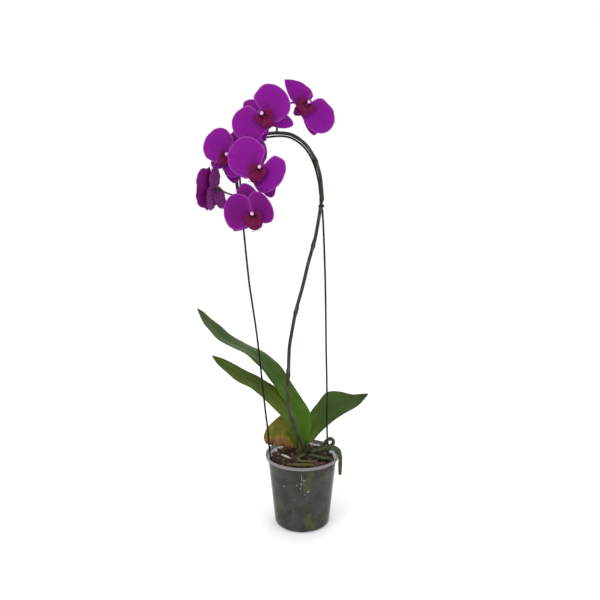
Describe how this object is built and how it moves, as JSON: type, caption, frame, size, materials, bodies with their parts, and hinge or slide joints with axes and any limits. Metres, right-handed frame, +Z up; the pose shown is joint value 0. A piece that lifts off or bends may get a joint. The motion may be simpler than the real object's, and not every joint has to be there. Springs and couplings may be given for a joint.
{
  "type": "potted orchid",
  "caption": "Potted moth orchid with an arching flower spike led over a wire hoop, purple flowers, strap leaves and air roots, growing in bark in a tapered nursery pot.",
  "frame": {"origin": "centre of the pot's flat underside, on the surface it stands on", "axes": "+Z up, -Y towards the front, where most flowers face, +X to the right seen from the front"},
  "size_m": [0.2808, 0.137, 0.7003],
  "materials": {
    "pot_plastic": "thin translucent smoke-grey plastic, lighter at the rim, damp inside",
    "bark": "loose reddish-brown bark chips",
    "wire": "steel wire in dark green plastic coat",
    "tie": "dark soft plastic",
    "spike": "dark brown-green woody stem with pale node scales",
    "crown": "green-brown sheath of old leaf bases",
    "leaf": "thick satin leaf, dark grey-green to bright green at the base",
    "leaf_old": "yellowing leaf with an orange-brown wrinkled lower edge",
    "root": "smooth green air root, greyer where dry",
    "root_pale": "dry whitish root skin",
    "petal": "velvety magenta-purple tepal with fine veins and a lighter edge",
    "lip": "dark crimson lip with orange-brown speckles",
    "column": "waxy pink column with a near-white cap, purple-green stalk"
  },
  "bodies": {
    "root": {"pot": "pot_plastic", "bark_mix": "bark", "support_hoop": "wire", "spike_tie_right": "tie", "spike_tie_left": "tie", "flower_spike": "spike", "plant_crown": "crown", "leaf_upper_left": "leaf", "leaf_lower_left": "leaf", "leaf_right": "leaf", "leaf_old": "leaf_old", "root_front_arc": "root", "root_along_rim": "root", "root_right": "root", "root_curl": "root", "root_dried": "root_pale", "root_over_rim": "root", "flower_1_dorsal_sepal": "petal", "flower_1_left_petal": "petal", "flower_1_right_petal": "petal", "flower_1_left_sepal": "petal", "flower_1_right_sepal": "petal", "flower_1_lip": "lip", "flower_1_column": "column", "flower_2_dorsal_sepal": "petal", "flower_2_left_petal": "petal", "flower_2_right_petal": "petal", "flower_2_left_sepal": "petal", "flower_2_right_sepal": "petal", "flower_2_lip": "lip", "flower_2_column": "column", "flower_3_dorsal_sepal": "petal", "flower_3_left_petal": "petal", "flower_3_right_petal": "petal", "flower_3_left_sepal": "petal", "flower_3_right_sepal": "petal", "flower_3_lip": "lip", "flower_3_column": "column", "flower_4_dorsal_sepal": "petal", "flower_4_left_petal": "petal", "flower_4_right_petal": "petal", "flower_4_left_sepal": "petal", "flower_4_right_sepal": "petal", "flower_4_lip": "lip", "flower_4_column": "column", "flower_5_dorsal_sepal": "petal", "flower_5_left_petal": "petal", "flower_5_right_petal": "petal", "flower_5_left_sepal": "petal", "flower_5_right_sepal": "petal", "flower_5_lip": "lip", "flower_5_column": "column", "flower_6_dorsal_sepal": "petal", "flower_6_left_petal": "petal", "flower_6_right_petal": "petal", "flower_6_left_sepal": "petal", "flower_6_right_sepal": "petal", "flower_6_lip": "lip", "flower_6_column": "column"}
  },
  "joints": []
}
